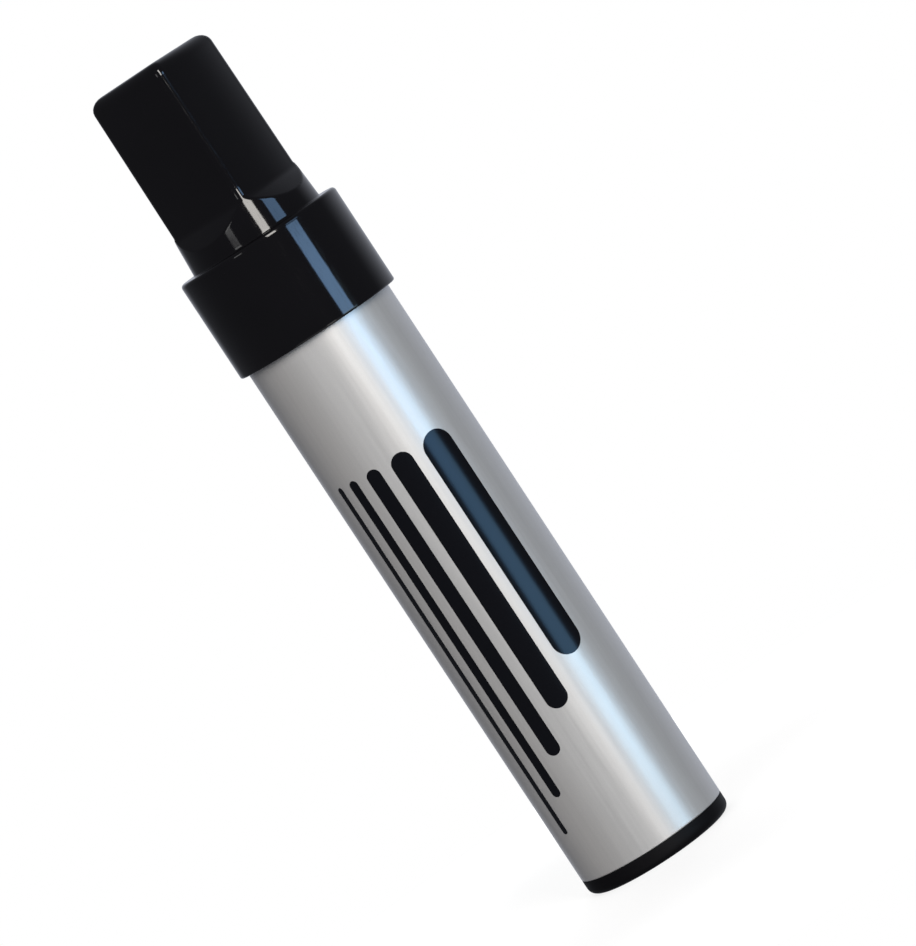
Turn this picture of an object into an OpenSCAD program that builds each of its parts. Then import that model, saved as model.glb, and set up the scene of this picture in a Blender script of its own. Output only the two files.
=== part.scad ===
// Jumbo permanent marker, cap on, standing on its end plug.
// z = 0 is the plug's rim, +Z runs along the barrel to the cap, and the cap's flats face X and Y.
// All sizes are in millimetres.

/* [Barrel] */
// Outside diameter of the aluminium tube
barrel_d = 24; // [22:0.5:28]
// Wall of the tube
barrel_wall = 0.6; // [0.5:0.1:0.9]
// Length of the tube, from the end plug's flange to the nib holder's flange
barrel_len = 93.1; // [80:0.1:120]

/* [End plug] */
// Height of the flange that shows below the tube
plug_flange_h = 2.6; // [2:0.1:5]
// Rounding of the flange's bottom edge
plug_round = 0.7; // [0.2:0.1:1.2]
// Length of the hollow shank inside the tube
plug_shank_len = 6.3; // [4:0.1:10]
// Wall of the shank
plug_wall = 1.4; // [0.8:0.1:2]
// Depth of the shallow dish in the underside
plug_dish_depth = 0.4; // [0.2:0.1:0.8]
// Width of the rim that the marker stands on
plug_rim_w = 3; // [2:0.1:5]
// Diameter of the gate mark in the middle of the dish
plug_gate_d = 2.4; // [1:0.1:4]
// Height of the gate mark
plug_gate_h = 0.2; // [0.1:0.05:0.2]

/* [Ink] */
// Wall of the film sleeve round the reservoir
sleeve_wall = 0.25; // [0.15:0.05:0.5]
// Air gap between the sleeve and the tube
sleeve_air = 0.3; // [0.2:0.05:0.6]
// Depth of the nib's tail in the reservoir
nib_tail = 8; // [4:0.5:15]

/* [Nib] */
// Width of the felt bar
nib_w = 9.4; // [6:0.1:10]
// Thickness of the felt bar
nib_t = 4.8; // [3:0.1:6]
// Length of felt in front of the nose
nib_out = 12.4; // [8:0.1:16]
// Drop of the chisel edge across the nib's width
nib_slant = 3.2; // [1:0.1:5]
// Height of the bevels on the nib's two broad sides
nib_bevel_h = 2.2; // [1:0.1:4]
// Width of the chisel edge between the bevels
nib_edge_w = 2.4; // [1:0.1:3]

/* [Nib holder] */
// Length of the shank inside the tube
holder_shank_len = 10; // [6:0.5:14]
// Wall of the shank
holder_wall = 1.2; // [0.8:0.1:1.8]
// Thickness of the front wall behind the shoulder
holder_front_t = 1.4; // [1:0.1:3]
// Length of the tube that guides the nib behind the front wall
guide_len = 7; // [4:0.5:12]
// Height of the flange between the tube and the cap's seat
holder_flange_h = 2.2; // [1.5:0.1:4]
// Step from the flange in to the cap's seat
seat_step = 0.7; // [0.5:0.05:1]
// Length of the cap's seat
seat_len = 5.3; // [4:0.1:8]
// Height of the snap bead on the seat
bead_h = 0.2; // [0.1:0.05:0.3]
// Radius of the snap bead's own section
bead_r = 1; // [0.6:0.1:1.5]
// Height of the snap bead above the flange
bead_up = 2.6; // [1.5:0.1:3.5]
// Height of the sloping shoulder between seat and nose
shoulder_h = 2; // [1:0.1:4]
// Length of the nose
nose_len = 5.6; // [4:0.1:8]
// Wall of the nose at the nib's corners
nose_wall = 1.3; // [0.9:0.1:2]
// Rounding of the nose's front edge
nose_round = 0.6; // [0.2:0.1:0.9]
// Radius of the air channels beside the nib
vent_r = 0.5; // [0.3:0.05:0.8]

/* [Cap] */
// Depth of the skirt below the stop inside the cap
skirt_depth = 6.95; // [5:0.05:12]
// Wall of the skirt
skirt_wall = 1.05; // [0.9:0.05:2]
// Rounding of the collar's top edge
collar_round = 0.8; // [0.3:0.1:1.2]
// Thickness of the deck between the collar and the stem
deck_t = 1.5; // [1:0.1:2.5]
// Height of the stem above the collar
stem_h = 29; // [26:0.1:36]
// Wall of the stem at its flats
stem_wall = 1.2; // [0.9:0.05:2]
// Slope of each flat, as its lean over the square length
stem_lean = 0.15; // [0.05:0.01:0.3]
// Rounding of the stem's upright and top edges
stem_round = 1.4; // [0.6:0.1:1.6]
// Rounding of the upright edges of the hollow inside the stem
hollow_round = 0.4; // [0.2:0.1:0.8]
// Flare of the stem's round foot past its corners
foot_flare = 0.48; // [0.2:0.02:0.9]
// Thickness of the stem's roof
roof_t = 1.4; // [1:0.1:2]

/* [Cap liner] */
// Wall of the bell round the nose
bell_wall = 0.8; // [0.6:0.05:1.2]
// Wall of the cup round the nib
cup_wall = 0.65; // [0.5:0.05:1]
// Height of the taper from the bell to the cup
neck_h = 5; // [3:0.1:7]

/* [Clearances] */
// Between pressed pieces, per side
press_gap = 0.02; // [0.01:0.01:0.05]
// Between the skirt and the tube, per side
skirt_gap = 0.2; // [0.1:0.05:0.4]
// Between the snap bead and the cap's bore, per side
bead_gap = 0.15; // [0.1:0.05:0.3]
// Between the cap's stop and the holder's flange
stop_gap = 0.05; // [0.02:0.01:0.1]
// Over the shoulder, under the cap's deck
shoulder_gap = 0.4; // [0.2:0.1:1]
// Between the liner and the nose or the nib, per side
liner_gap = 0.3; // [0.2:0.05:0.5]
// Between the liner and the cap's walls
liner_seat_gap = 0.13; // [0.05:0.01:0.3]
// Between the felt and what it is pressed into, per side
felt_gap = 0.05; // [0.02:0.01:0.1]

/* [Hidden] */

$fn = 96;
// Sides of the round shapes that the stem's blends are drawn from
blend_fn = 64;
// How far a cut runs past the face that it opens
past = 1;
// Thickness of the slices that the stem's blends are drawn between
slice = 0.01;

black = [0.07, 0.07, 0.08];
felt_black = [0.13, 0.13, 0.14];
silver = [0.76, 0.76, 0.78];
film_white = [0.85, 0.86, 0.88];

// Radii
barrel_r = barrel_d / 2;
bore_r = barrel_r - barrel_wall;
shank_r = bore_r - press_gap;
sleeve_r = bore_r - sleeve_air;
reservoir_r = sleeve_r - sleeve_wall - press_gap;
seat_r = barrel_r - seat_step;
bead_top_r = seat_r + bead_h;
nib_reach = sqrt(nib_w * nib_w + nib_t * nib_t) / 2;
nose_r = nib_reach + nose_wall;
bell_in_r = nose_r + liner_gap;
bell_r = bell_in_r + bell_wall;
cup_in_r = nib_reach + liner_gap;
cup_r = cup_in_r + cup_wall;
skirt_in_r = barrel_r + skirt_gap;
collar_r = skirt_in_r + skirt_wall;
cap_bore_r = bead_top_r + bead_gap;

// Half widths across the stem's flats, outside and inside, and the round foot below them
flat_top = cup_r + liner_seat_gap + stem_wall;
flat_foot = flat_top + stem_lean;
hollow_top = flat_top - stem_wall;
hollow_foot = flat_foot - stem_wall;
foot_r = (flat_foot - stem_round) * sqrt(2) + stem_round + foot_flare;
foot_in_r = foot_r - stem_wall;

// Heights, from the plug's rim up
barrel_z = plug_flange_h;
plug_top_z = barrel_z + plug_shank_len;
flange_z = barrel_z + barrel_len;
holder_z = flange_z - holder_shank_len;
seat_z = flange_z + holder_flange_h;
seat_top_z = seat_z + seat_len;
nose_z = seat_top_z + shoulder_h;
nose_top_z = nose_z + nose_len;
front_z = seat_top_z - holder_front_t;
guide_z = front_z - guide_len;
nib_z = holder_z - nib_tail;
nib_top_z = nose_top_z + nib_out;
stop_z = seat_z + stop_gap;
skirt_z = stop_z - skirt_depth;
deck_z = nose_z + shoulder_gap;
collar_top_z = deck_z + deck_t;
bell_top_z = nose_top_z + liner_gap;
flats_z = bell_top_z + neck_h;
stem_top_z = collar_top_z + stem_h;
liner_top_z = stem_top_z - roof_t - liner_seat_gap;

// Half of a disc's section, from the axis out, with its lower outer edge rounded
module rounded_disc_section(r, h, round_r) {
    translate([0, round_r]) square([r, h - round_r]);
    square([r - round_r, h]);
    translate([r - round_r, round_r]) circle(round_r);
}

// Ring of wall between two radii
module tube(r_out, r_in, h) {
    difference() {
        cylinder(r = r_out, h = h);
        translate([0, 0, -past]) cylinder(r = r_in, h = h + 2 * past);
    }
}

// Upright posts at the corners of a square, where half is the distance to its flats
module corner_posts(half, round_r, h) {
    for (x = [-1, 1], y = [-1, 1])
        translate([x * (half - round_r), y * (half - round_r), 0])
            cylinder(r = round_r, h = h, $fn = blend_fn);
}

// Balls at the corners of a square, resting under the height top
module corner_balls(half, round_r, top) {
    for (x = [-1, 1], y = [-1, 1])
        translate([x * (half - round_r), y * (half - round_r), top - round_r])
            sphere(r = round_r, $fn = blend_fn / 2);
}

// Blend from a round foot to a square
module round_to_square(foot, z0, half, round_r, z1) {
    hull() {
        translate([0, 0, z0]) cylinder(r = foot, h = slice, $fn = blend_fn);
        translate([0, 0, z1]) corner_posts(half, round_r, slice);
    }
}

module barrel() {
    color(silver)
        translate([0, 0, barrel_z]) tube(barrel_r, bore_r, barrel_len);
}

module end_plug() {
    dish_r = barrel_r - plug_rim_w;
    floor_z = plug_flange_h;
    color(black) difference() {
        union() {
            rotate_extrude() rounded_disc_section(barrel_r, plug_flange_h, plug_round);
            cylinder(r = shank_r, h = plug_top_z);
        }
        translate([0, 0, floor_z]) cylinder(r = shank_r - plug_wall, h = plug_shank_len + past);
        translate([0, 0, -past]) tube(dish_r, plug_gate_d / 2, past + plug_dish_depth);
        translate([0, 0, -past]) cylinder(d = plug_gate_d + past, h = past + plug_dish_depth - plug_gate_h);
    }
}

module reservoir() {
    color(felt_black) difference() {
        translate([0, 0, plug_top_z]) cylinder(r = reservoir_r, h = holder_z - plug_top_z);
        nib_slot(nib_z, holder_z + past);
    }
}

module reservoir_sleeve() {
    color(film_white)
        translate([0, 0, plug_top_z]) tube(sleeve_r, sleeve_r - sleeve_wall, holder_z - plug_top_z);
}

// Space that the felt bar takes between two heights
module nib_slot(z0, z1) {
    translate([-nib_w / 2 - felt_gap, -nib_t / 2 - felt_gap, z0])
        cube([nib_w + 2 * felt_gap, nib_t + 2 * felt_gap, z1 - z0]);
}

module nib_holder() {
    hollow_r = shank_r - holder_wall;
    color(black) difference() {
        union() {
            translate([0, 0, holder_z]) cylinder(r = shank_r, h = holder_shank_len);
            translate([0, 0, flange_z]) cylinder(r = barrel_r, h = holder_flange_h);
            translate([0, 0, seat_z]) rotate_extrude() {
                square([seat_r, seat_len]);
                translate([bead_top_r - bead_r, bead_up]) circle(bead_r);
            }
            translate([0, 0, seat_top_z]) cylinder(r1 = seat_r, r2 = nose_r, h = shoulder_h);
            translate([0, 0, nose_top_z]) mirror([0, 0, 1])
                rotate_extrude() rounded_disc_section(nose_r, nose_len, nose_round);
        }
        translate([0, 0, holder_z - past]) tube(hollow_r, nose_r, front_z - holder_z + past);
        translate([0, 0, holder_z - past]) cylinder(r = hollow_r, h = guide_z - holder_z + past);
        nib_slot(guide_z - past, nose_top_z + past);
        for (side = [-1, 1])
            translate([0, side * (nib_t / 2 + felt_gap), guide_z - past])
                cylinder(r = vent_r, h = nose_top_z - guide_z + 2 * past, $fn = 32);
    }
}

module nib() {
    half_w = nib_w / 2;
    half_t = nib_t / 2;
    color(felt_black) intersection() {
        rotate([90, 0, 0]) linear_extrude(nib_t, center = true)
            polygon([[-half_w, nib_z], [half_w, nib_z],
                     [half_w, nib_top_z - nib_slant], [-half_w, nib_top_z]]);
        rotate([90, 0, 90]) linear_extrude(nib_w + past, center = true)
            polygon([[-half_t, nib_z], [half_t, nib_z],
                     [half_t, nib_top_z - nib_slant - nib_bevel_h],
                     [nib_edge_w / 2, nib_top_z], [-nib_edge_w / 2, nib_top_z],
                     [-half_t, nib_top_z - nib_slant - nib_bevel_h]]);
    }
}

module cap() {
    color(black) difference() {
        union() {
            translate([0, 0, collar_top_z]) mirror([0, 0, 1]) rotate_extrude()
                rounded_disc_section(collar_r, collar_top_z - skirt_z, collar_round);
            round_to_square(foot_r, collar_top_z - slice, flat_foot, stem_round, flats_z);
            hull() {
                translate([0, 0, flats_z]) corner_posts(flat_foot, stem_round, slice);
                corner_balls(flat_top, stem_round, stem_top_z);
            }
        }
        translate([0, 0, skirt_z - past]) cylinder(r = skirt_in_r, h = stop_z - skirt_z + past);
        translate([0, 0, skirt_z - past]) cylinder(r = cap_bore_r, h = deck_z - skirt_z + past);
        translate([0, 0, deck_z - past]) cylinder(r = foot_in_r, h = deck_t + past);
        round_to_square(foot_in_r, collar_top_z - slice, hollow_foot, hollow_round, flats_z);
        hull() {
            translate([0, 0, flats_z]) corner_posts(hollow_foot, hollow_round, slice);
            translate([0, 0, stem_top_z - roof_t - slice]) corner_posts(hollow_top, hollow_round, slice);
        }
    }
}

module cap_liner() {
    color(film_white) rotate_extrude()
        polygon([[bell_in_r, deck_z], [bell_r, deck_z], [bell_r, bell_top_z],
                 [cup_r, flats_z], [cup_r, liner_top_z], [0, liner_top_z],
                 [0, liner_top_z - cup_wall], [cup_in_r, liner_top_z - cup_wall],
                 [cup_in_r, flats_z], [bell_in_r, bell_top_z]]);
}

barrel();
end_plug();
reservoir();
reservoir_sleeve();
nib_holder();
nib();
cap();
cap_liner();
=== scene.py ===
"""Dresses a jumbo permanent marker: moulded cap, lacquered barrel, end plug, felt nib and what is inside.

The marker stands on its end plug, +Z runs along the barrel to the cap, and lengths are in metres.
"""
import math

import bmesh
import bpy
from bpy.props import (
    FloatProperty,
    FloatVectorProperty,
    IntProperty,
    PointerProperty,
)
from mathutils import Matrix, Vector, noise


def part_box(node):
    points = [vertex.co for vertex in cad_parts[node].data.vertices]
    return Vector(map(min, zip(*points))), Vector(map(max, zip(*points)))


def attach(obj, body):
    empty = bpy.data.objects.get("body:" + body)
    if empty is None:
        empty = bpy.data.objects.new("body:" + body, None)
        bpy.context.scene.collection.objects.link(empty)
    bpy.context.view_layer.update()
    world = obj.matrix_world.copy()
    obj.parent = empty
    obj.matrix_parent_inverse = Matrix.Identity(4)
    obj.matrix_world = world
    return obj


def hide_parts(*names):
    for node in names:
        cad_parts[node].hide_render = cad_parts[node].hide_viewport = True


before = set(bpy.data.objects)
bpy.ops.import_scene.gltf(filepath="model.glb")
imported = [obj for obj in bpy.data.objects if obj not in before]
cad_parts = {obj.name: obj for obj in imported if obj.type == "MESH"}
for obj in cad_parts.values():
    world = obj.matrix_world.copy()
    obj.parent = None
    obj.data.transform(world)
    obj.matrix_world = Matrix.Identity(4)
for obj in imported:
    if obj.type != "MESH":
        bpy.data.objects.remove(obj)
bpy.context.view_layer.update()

bl_info = {
    "name": "Permanent marker",
    "version": (1, 0, 0),
    "blender": (4, 5, 0),
    "location": "3D View > Sidebar > Marker",
    "description": "Builds the looks of a jumbo permanent marker around its solids",
    "category": "Object",
}

MM = 0.001

# Sides of a turned piece and of the cap, and steps of a rounded edge, the cap's foot and the nib's slot
TURNED_SIDES = 144
CAP_SIDES = 360
EDGE_STEPS = 6
FOOT_STEPS = 36
SLOT_STEPS = 8
# A guard point stands this share of an edge's radius beside the edge and keeps the shading there flat
GUARD = 0.3
# Points closer than this are one, and edges that bend more than this stay crisp
WELD = 1e-7
CRISP = math.radians(32)


def linear(code):
    """sRGB hex colour as linear red, green and blue."""
    channels = [int(code[i:i + 2], 16) / 255 for i in (1, 3, 5)]
    return tuple(c / 12.92 if c <= 0.04045 else ((c + 0.055) / 1.055) ** 2.4 for c in channels)


def length(name, description, millimetres):
    """Property for a length that is given in millimetres."""
    return FloatProperty(
        name=name, description=description, default=millimetres * MM, unit="LENGTH", precision=5)


def colour(name, description, code):
    """Property for a colour that is given as sRGB hex."""
    return FloatVectorProperty(
        name=name, description=description, default=linear(code), subtype="COLOR", size=3, min=0, max=1)


def angle(name, description, degrees):
    """Property for an angle that is given in degrees."""
    return FloatProperty(name=name, description=description, default=math.radians(degrees), subtype="ANGLE")


class MarkerSizes(bpy.types.PropertyGroup):
    """Sizes of barrel, end plug, cap and liner that their boxes don't give."""

    barrel_wall: length("Barrel wall", "Wall of the aluminium tube", 0.6)
    barrel_rim: length("Barrel rim", "Rounding of the tube's cut ends", 0.22)
    press_gap: length("Press gap", "Room between pressed pieces, per side", 0.02)
    plug_edge: length("Plug edge", "Rounding of the end plug's bottom edge", 1.25)
    plug_flange: length("Plug flange", "Height of the plug below the tube", 2.6)
    plug_wall: length("Plug wall", "Wall of the plug's hollow shank", 1.4)
    plug_rim: length("Plug rim", "Width of the rim that the marker stands on", 3.0)
    plug_dish: length("Plug dish", "Depth of the dish in the underside", 0.4)
    plug_soft: length("Plug soft edges", "Rounding of the plug's small edges", 0.12)
    gate_radius: length("Gate radius", "Radius of the gate mark in the dish", 1.2)
    gate_height: length("Gate height", "Height of the gate mark", 0.2)
    collar_height: length("Collar height", "Height of the cap's round collar", 16.1)
    collar_edge: length("Collar edge", "Rounding of the collar's top edge", 0.6)
    skirt_edge: length("Skirt edge", "Rounding of the skirt's lower edge", 0.3)
    skirt_wall: length("Skirt wall", "Wall of the skirt", 1.05)
    skirt_depth: length("Skirt depth", "Depth of the skirt below the stop inside", 6.95)
    stop_corner: length("Stop corner", "Rounding of the corner between skirt and stop", 0.1)
    cap_bore: length("Cap bore", "Radius of the bore over the snap bead", 11.65)
    bore_edge: length("Bore edge", "Rounding of the bore's edge and of the hollow's", 0.15)
    deck: length("Deck", "Thickness of the deck between collar and stem", 1.5)
    deck_corner: length("Deck corner", "Rounding of the corner below the deck", 0.3)
    foot_radius: length("Foot radius", "Radius of the stem's round foot", 10.8)
    foot_height: length("Foot height", "Height of the stem's round, slightly conical foot", 7.8)
    foot_fillet: length("Foot fillet", "Rounding between the collar and the foot", 0.22)
    flats_height: length("Flats height", "Height above the collar at which the flats start to run out", 5.7)
    flats_slope: angle("Flats slope", "Angle at which the flats run out into the foot", 45.0)
    flats_ease: length("Flats ease", "Stretch over which the flats bend into their slope", 0.5)
    stem_half: length("Stem half width", "Half width across the flats at the top", 7.557)
    stem_lean: length("Stem lean", "Lean of each flat over its length", 0.15)
    stem_edge: length("Stem edge", "Rounding of the stem's upright edges", 1.4)
    stem_crest: length("Stem crest", "Rounding of the stem's top edges", 1.8)
    stem_wall: length("Stem wall", "Wall of the stem at its flats", 1.2)
    stem_crown: length("Stem crown", "Crown of each moulded flat", 0.38)
    hollow_edge: length("Hollow edge", "Rounding of the edges inside the stem", 0.4)
    roof: length("Roof", "Thickness of the stem's roof", 1.4)
    liner_gap: length("Liner gap", "Room between the liner and the nose or nib in it", 0.3)
    liner_seat: length("Liner seat", "Room between the liner and the cap's hollow", 0.13)
    liner_soft: length("Liner soft edges", "Rounding of the liner's small edges", 0.15)
    bell_wall: length("Bell wall", "Wall of the liner's bell over the nose", 0.8)
    cup_wall: length("Cup wall", "Wall of the liner's cup round the nib", 0.65)
    neck_height: length("Neck height", "Height over which the liner narrows from bell to cup", 5.0)
    neck_bend: length("Neck bend", "Rounding where the liner starts and ends to narrow", 1.0)


class HolderSizes(bpy.types.PropertyGroup):
    """Sizes of the nib holder that its box doesn't give."""

    wall: length("Wall", "Wall of the hollow shank", 1.2)
    flange: length("Flange", "Height of the stop flange on the tube", 2.2)
    flange_edge: length("Flange edge", "Rounding of the flange's top edge", 0.25)
    seat: length("Seat", "Height of the seat for the cap", 5.3)
    seat_step: length("Seat step", "Step from the flange in to the seat", 0.7)
    seat_edge: length("Seat edge", "Rounding of the seat's top edge", 0.4)
    bead_up: length("Bead place", "Height of the snap bead above the flange", 2.6)
    bead_height: length("Bead height", "How far the snap bead stands out of the seat", 0.2)
    bead_half: length("Bead half width", "Half width of the snap bead, and rounding of its crest", 0.6)
    bead_foot: length("Bead foot", "Rounding of the snap bead's feet", 0.3)
    shoulder: length("Shoulder", "Height of the sloping shoulder", 2.0)
    shoulder_edge: length("Shoulder edge", "Rounding between shoulder and nose", 0.5)
    nose_wall: length("Nose wall", "Wall of the nose at the nib's corners", 1.3)
    nose_edge: length("Nose edge", "Rounding of the nose's front edge", 0.6)
    nose_land: length("Nose land", "Round border of the nose's ends", 1.2)
    front: length("Front", "Thickness of the wall below the shoulder", 1.4)
    guide: length("Guide", "Length of the nib's guide inside", 7.0)
    vent: length("Vent", "Radius of the air channels beside the nib", 0.5)
    felt_gap: length("Felt gap", "Room between the nib and its slot", 0.05)
    soft: length("Soft edges", "Rounding of the holder's small edges", 0.15)


class MarkerColours(bpy.types.PropertyGroup):
    """Colours of the finishes."""

    lacquer: colour("Lacquer", "Silver lacquer of the barrel", "#c9c7c5")
    cap: colour("Cap", "Black plastic of the cap", "#09080a")
    plug: colour("Plug", "Black plastic of the end plug", "#0b0a0c")
    holder: colour("Nib holder", "Black plastic of the nib holder", "#151417")
    liner: colour("Liner", "Natural polyethylene of the cap's liner", "#e4e3dc")
    felt: colour("Felt", "Ink-soaked felt of the nib", "#121215")
    fibre: colour("Fibre", "Ink-soaked fibre of the reservoir", "#1a1a1f")
    film: colour("Film", "Film round the reservoir", "#e6e8ea")
    ink: colour("Print", "Ink of the printed strokes", "#0d0c0e")


class PrintSettings(bpy.types.PropertyGroup):
    """The printed strokes on the barrel, a sample of line widths, each thinner and longer than the last."""

    strokes: IntProperty(name="Strokes", description="Number of strokes", default=5, min=1, max=8)
    broad: length("Broad stroke", "Width of the broadest stroke", 5.0)
    thinning: FloatProperty(
        name="Thinning", description="Width of each stroke over the one before", default=0.68,
        subtype="FACTOR", min=0.1, max=0.95)
    gap: length("Gap", "Bare lacquer between two strokes", 1.8)
    reach: length("Length", "Length of the broadest stroke", 38.0)
    growth: length("Growth", "Length that each stroke has over the one before", 5.5)
    top: length("Top", "Height of the strokes' upper ends", 70.5)
    facing: angle("Facing", "Direction that the broad stroke's edge faces", 77.0)
    ink_height: length("Ink height", "Thickness of the printed ink", 0.02)


class NibSettings(bpy.types.PropertyGroup):
    """The felt nib and its loose fibres."""

    grain: length("Grain", "Spacing of the felt's surface points", 0.2)
    softening: IntProperty(
        name="Softening", description="Rounds of softening of the felt's edges", default=6, min=0, max=50)
    fuzz: length("Fuzz", "Unevenness of the felt in the open", 0.06)
    clump: length("Clump width", "Width of the felt's uneven clumps", 0.5)
    clump_length: length("Clump length", "Length of the clumps along the nib", 1.5)
    pressed: length("Pressed", "Height above the nose over which the felt turns uneven", 1.0)
    fringe: length("Fringe", "Height above the nose at which loose fibres start", 0.4)
    density: FloatProperty(
        name="Fibres", description="Loose fibres on a square millimetre of felt", default=3.5, min=0, max=20)
    fibre_length: length("Fibre length", "Length of a loose fibre", 0.45)
    fibre_radius: length("Fibre radius", "Radius of a loose fibre", 0.02)
    seed: IntProperty(name="Seed", description="Seed of the loose fibres' places", default=7)


class StageSettings(bpy.types.PropertyGroup):
    """Camera, lights and floor."""

    azimuth: angle("Azimuth", "Direction of the camera round the marker", 38.4)
    distance: length("Distance", "Distance of the camera from the marker's axis", 850.0)
    height: length("Height", "Height of the camera", 127.0)
    aim_height: length("Aim height", "Height that the camera looks at", 62.42)
    aim_side: length("Aim side", "Distance to the right of the axis that the camera looks at", 5.5)
    roll: angle("Roll", "Clockwise roll of the camera", 33.28)
    lens: FloatProperty(
        name="Lens", description="Focal length on a 36 mm wide sensor", default=223.7, unit="CAMERA")
    floor_radius: length("Floor radius", "Radius of the floor that keeps the shadow", 120.0)


class MarkerSettings(bpy.types.PropertyGroup):
    """All that can be set on the marker."""

    sizes: PointerProperty(type=MarkerSizes)
    holder: PointerProperty(type=HolderSizes)
    colours: PointerProperty(type=MarkerColours)
    printing: PointerProperty(type=PrintSettings)
    nib: PointerProperty(type=NibSettings)
    stage: PointerProperty(type=StageSettings)


# Outlines and meshes


def rounded(outline, closed):
    """Points of an outline of (x, y, edge radius) corners, each edge an arc between two guard points."""
    points = []
    count = len(outline)
    for i, (x, y, radius) in enumerate(outline):
        corner = Vector((x, y))
        if radius == 0 or (not closed and i in (0, count - 1)):
            points.append(corner)
            continue
        back = (Vector(outline[i - 1][:2]) - corner).normalized()
        ahead = (Vector(outline[(i + 1) % count][:2]) - corner).normalized()
        half = back.angle(ahead) / 2
        cut = radius / math.tan(half)
        centre = corner + (back + ahead).normalized() * radius / math.sin(half)
        start = corner + back * cut - centre
        end = corner + ahead * cut - centre
        turn = math.atan2(start.cross(end), start.dot(end))
        points.append(centre + start + back * radius * GUARD)
        for step in range(EDGE_STEPS + 1):
            points.append(centre + Matrix.Rotation(turn * step / EDGE_STEPS, 2) @ start)
        points.append(centre + end + ahead * radius * GUARD)
    return points


def loft(name, rings, closed):
    """Mesh through rings of points, where a ring of one point is a pole.

    A closed loft joins its last ring to its first.
    """
    shape = bmesh.new()
    loops = [[shape.verts.new(point) for point in ring] for ring in rings]
    following = loops[1:] + loops[:1] if closed else loops[1:]
    for lower, upper in zip(loops, following):
        count = max(len(lower), len(upper))
        for i in range(count):
            j = (i + 1) % count
            below = lower[i % len(lower)], lower[j % len(lower)]
            above = upper[j % len(upper)], upper[i % len(upper)]
            shape.faces.new(dict.fromkeys(below + above))
    bmesh.ops.remove_doubles(shape, verts=shape.verts, dist=WELD)
    bmesh.ops.recalc_face_normals(shape, faces=shape.faces)
    mesh = bpy.data.meshes.new(name)
    shape.to_mesh(mesh)
    shape.free()
    mesh.shade_smooth()
    mesh.set_sharp_from_angle(angle=CRISP)
    return mesh


def turned(name, outline, closed):
    """Mesh of an outline of (radius, height, edge radius) corners turned about the axis."""
    turns = [2 * math.pi * i / TURNED_SIDES for i in range(TURNED_SIDES)]
    rings = []
    for radius, z in rounded(outline, closed):
        if radius < WELD:
            rings.append([(0, 0, z)])
        else:
            rings.append([(radius * math.cos(t), radius * math.sin(t), z) for t in turns])
    return loft(name, rings, closed)


def show(name, mesh, material):
    """Object of a mesh in the scene."""
    obj = bpy.data.objects.new(name, mesh)
    bpy.context.scene.collection.objects.link(obj)
    mesh.materials.clear()
    mesh.materials.append(material)
    return obj


def plain_mesh(obj, name):
    """Applies an object's modifiers: gives it the mesh that they make, with the same material."""
    bpy.context.view_layer.update()
    material = obj.data.materials[0]
    evaluated = obj.evaluated_get(bpy.context.evaluated_depsgraph_get())
    mesh = bpy.data.meshes.new_from_object(evaluated)
    mesh.name = name
    mesh.materials.clear()
    mesh.materials.append(material)
    obj.modifiers.clear()
    obj.data = mesh
    return mesh


def nodes_modifier(obj, tree, values):
    """Adds a geometry nodes modifier with its inputs set by their sockets' identifiers."""
    modifier = obj.modifiers.new(tree.name, "NODES")
    modifier.node_group = tree
    for item in tree.interface.items_tree:
        if item.item_type == "SOCKET" and item.in_out == "INPUT" and item.name in values:
            modifier[item.identifier] = values[item.name]


# Node trees


def fill(tree, node, values):
    """Sets inputs of a node, each to a constant or by a link."""
    for key, value in values.items():
        if isinstance(value, bpy.types.NodeSocket):
            tree.links.new(value, node.inputs[key])
        else:
            node.inputs[key].default_value = value


def add(tree, kind, values=None, **settings):
    """Adds a node with its settings, and its inputs as constants or links."""
    node = tree.nodes.new(kind)
    for name, value in settings.items():
        setattr(node, name, value)
    fill(tree, node, values or {})
    return node


def surface(name, colour_value, values):
    """New material: its node tree, its shader with constant values, and the piece's own coordinates."""
    material = bpy.data.materials.new(name)
    material.use_nodes = True
    tree = material.node_tree
    shader = tree.nodes["Principled BSDF"]
    fill(tree, shader, {"Base Color": (*colour_value, 1), **values})
    place = add(tree, "ShaderNodeTexCoord").outputs["Object"]
    return material, tree, shader, place


def shade(colour_value, factor):
    """Colour made lighter or darker by a factor."""
    return (*(min(1.0, c * factor) for c in colour_value), 1)


def vary(tree, shader, colour_value, pattern, dark, light, strength, depth):
    """Lets a pattern take a shader's colour from a darker to a lighter shade and raise its surface."""
    tone = add(tree, "ShaderNodeMix", {
        0: pattern, 6: shade(colour_value, dark), 7: shade(colour_value, light)}, data_type="RGBA")
    bump = add(tree, "ShaderNodeBump", {"Strength": strength, "Distance": depth, "Height": pattern})
    fill(tree, shader, {"Base Color": tone.outputs[2], "Normal": bump.outputs[0]})


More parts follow.
